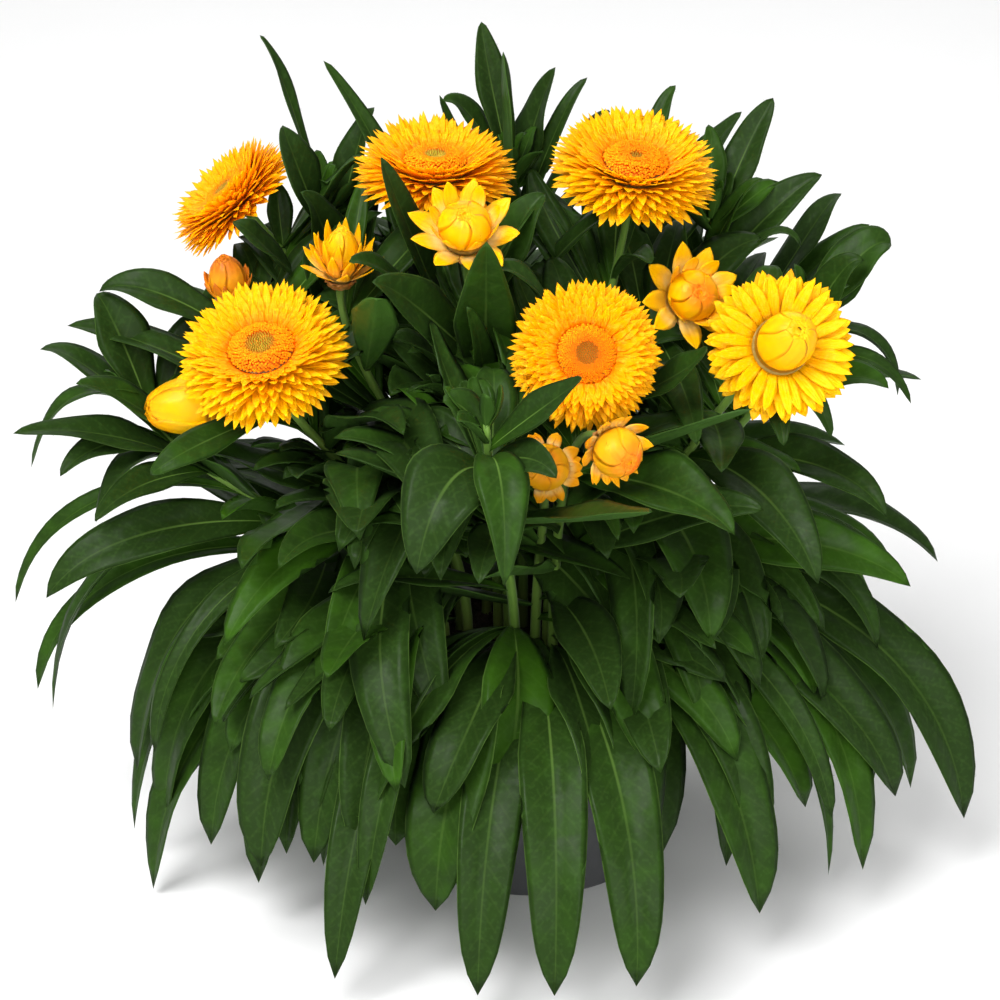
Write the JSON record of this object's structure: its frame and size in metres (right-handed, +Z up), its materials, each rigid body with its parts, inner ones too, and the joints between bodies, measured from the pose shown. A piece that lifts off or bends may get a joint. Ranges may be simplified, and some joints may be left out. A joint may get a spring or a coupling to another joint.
{
  "type": "potted strawflower",
  "caption": "Bushy strawflower with papery yellow flower heads, golden buds and long green leaves, in a round dark nursery pot.",
  "frame": {"origin": "middle of the pot's base, on the surface it stands on", "axes": "+Z up, -Y towards the front of the plant, +X to the right seen from the front"},
  "size_m": [0.3574, 0.2974, 0.3084],
  "materials": {
    "pot_plastic": "charcoal thin plastic, slightly shiny",
    "potting_soil": null,
    "leaf_and_stem": null,
    "yellow_bracts": "glossy papery yellow bracts",
    "orange_florets": "orange disc florets",
    "golden_buds": "glossy papery golden bracts"
  },
  "bodies": {
    "root": {"bloom_centre_bracts": "yellow_bracts", "bloom_centre_centre": "orange_florets", "bloom_high_left_bracts": "yellow_bracts", "bloom_high_left_centre": "orange_florets", "bloom_left_bracts": "yellow_bracts", "bloom_left_centre": "orange_florets", "bloom_right_bracts": "yellow_bracts", "bloom_right_centre": "orange_florets", "bloom_top_middle_bracts": "yellow_bracts", "bloom_top_middle_centre": "orange_florets", "bloom_top_right_bracts": "yellow_bracts", "bloom_top_right_centre": "orange_florets", "bud_far_left": "golden_buds", "bud_front": "golden_buds", "bud_front_right": "golden_buds", "bud_high_left": "golden_buds", "bud_left": "golden_buds", "bud_right": "golden_buds", "bud_top": "golden_buds", "leafy_shoot_back_left": "leaf_and_stem", "leafy_shoot_back_mid_left": "leaf_and_stem", "leafy_shoot_back_mid_right": "leaf_and_stem", "leafy_shoot_back_middle": "leaf_and_stem", "leafy_shoot_back_right": "leaf_and_stem", "leafy_shoot_front": "leaf_and_stem", "leafy_shoot_high_left": "leaf_and_stem", "leafy_shoot_high_right": "leaf_and_stem", "leafy_shoot_left": "leaf_and_stem", "leafy_shoot_right": "leaf_and_stem", "leafy_shoot_top": "leaf_and_stem", "leafy_stem_bud_far_left": "leaf_and_stem", "leafy_stem_bud_front": "leaf_and_stem", "leafy_stem_bud_front_right": "leaf_and_stem", "leafy_stem_bud_high_left": "leaf_and_stem", "leafy_stem_bud_left": "leaf_and_stem", "leafy_stem_bud_right": "leaf_and_stem", "leafy_stem_bud_top": "leaf_and_stem", "leafy_stem_centre": "leaf_and_stem", "leafy_stem_high_left": "leaf_and_stem", "leafy_stem_left": "leaf_and_stem", "leafy_stem_right": "leaf_and_stem", "leafy_stem_top_middle": "leaf_and_stem", "leafy_stem_top_right": "leaf_and_stem", "pot": "pot_plastic", "soil": "potting_soil"}
  },
  "joints": []
}
